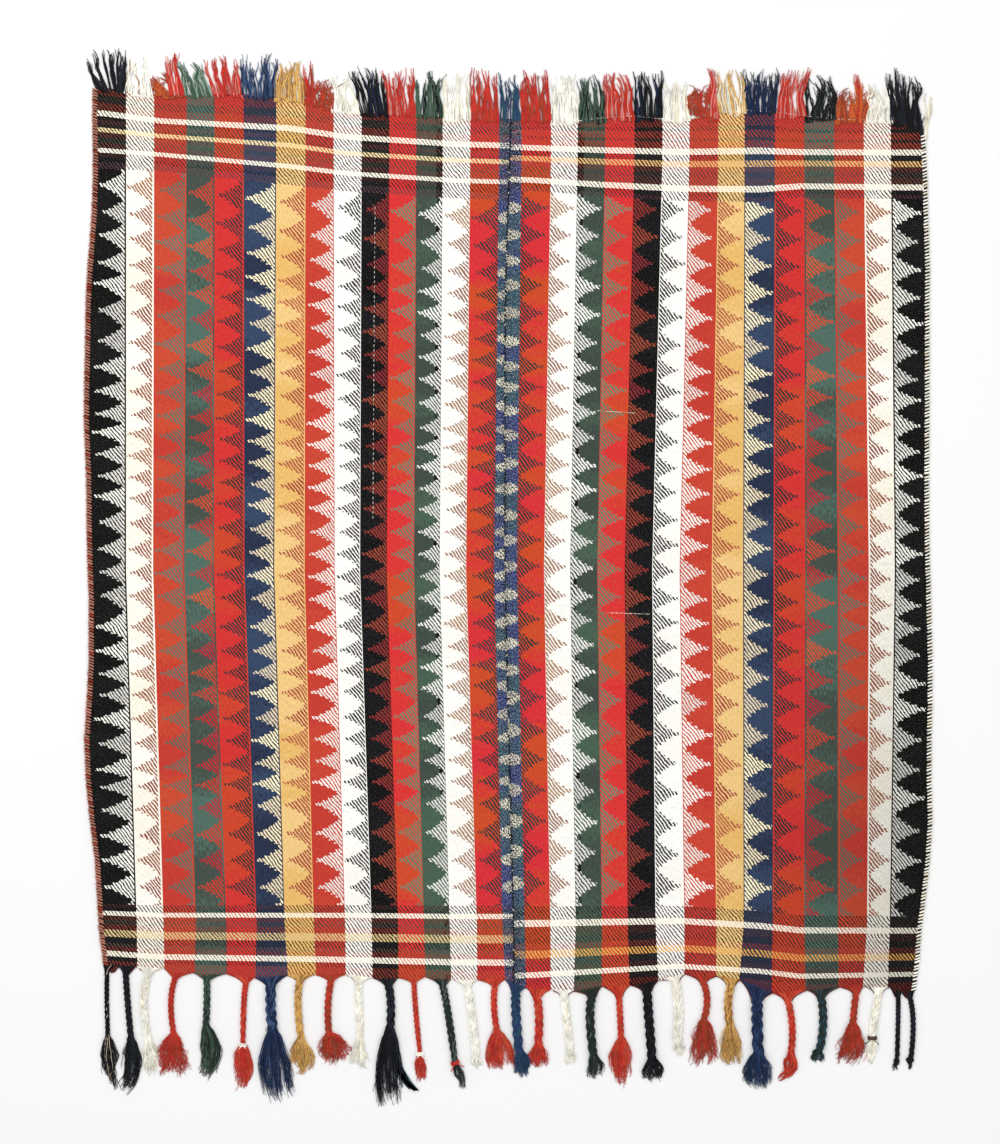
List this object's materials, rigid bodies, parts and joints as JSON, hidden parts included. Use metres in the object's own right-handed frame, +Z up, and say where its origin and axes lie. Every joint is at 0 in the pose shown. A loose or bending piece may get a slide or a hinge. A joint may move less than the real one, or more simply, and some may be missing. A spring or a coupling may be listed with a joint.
{
  "type": "flatweave rug",
  "caption": "Flat striped wool rug of two hand-loomed widths joined along the middle, with a cut warp fringe at one end and plaited warps with tassels at the other.",
  "frame": {"origin": "middle of the rug's whole outline, fringe and tassels included, on the floor that it lies on", "axes": "+X to the right across the widths, +Y along the warps from the plaited end towards the cut fringe, +Z up off the floor"},
  "size_m": [1.5121, 1.8767, 0.0106],
  "materials": {
    "cloth_left": "matte wool twill in stripes of black, white, orange-red, green, red, navy and yellow",
    "cloth_right": "matte wool twill in stripes of red, white, green, black, yellow, navy and orange-red",
    "seam_stitches": "matte dark and cream wool yarn, stitched",
    "overcast_left": "matte pinkish brown wool yarn, wrapped",
    "overcast_right": "matte cream wool yarn, wrapped",
    "fringe_wool": "matte cut wool warps in the stripes' colours",
    "plait_black": "matte plaited black wool",
    "plait_white": "matte plaited natural white wool",
    "plait_red": "matte plaited red wool",
    "plait_green": "matte plaited dark green wool",
    "plait_navy": "matte plaited navy wool",
    "plait_blue": "matte plaited blue wool",
    "plait_yellow": "matte plaited yellow wool",
    "tie_white": "matte white wool yarn",
    "tie_red": "matte red wool yarn",
    "tie_brown": "matte brown wool yarn"
  },
  "bodies": {
    "root": {"panel_left": "cloth_left", "panel_right": "cloth_right", "centre_seam": "seam_stitches", "overcast_left": "overcast_left", "overcast_right": "overcast_right", "fringe_left": "fringe_wool", "fringe_right": "fringe_wool", "plait_01": "plait_black", "plait_02": "plait_black", "plait_03": "plait_white", "plait_04": "plait_red", "plait_05": "plait_green", "plait_06": "plait_red", "plait_07": "plait_navy", "plait_08": "plait_yellow", "plait_09": "plait_red", "plait_10": "plait_white", "plait_11": "plait_black", "plait_12": "plait_red", "plait_13": "plait_green", "plait_14": "plait_white", "plait_15": "plait_red", "plait_16": "plait_blue", "plait_17": "plait_red", "plait_18": "plait_white", "plait_19": "plait_green", "plait_20": "plait_red", "plait_21": "plait_black", "plait_22": "plait_white", "plait_23": "plait_red", "plait_24": "plait_yellow", "plait_25": "plait_navy", "plait_26": "plait_red", "plait_27": "plait_green", "plait_28": "plait_red", "plait_29": "plait_white", "plait_30": "plait_black", "plait_31": "plait_black", "tie_06": "tie_white", "tie_12": "tie_white", "tie_13": "tie_red", "tie_29": "tie_brown"}
  },
  "joints": []
}
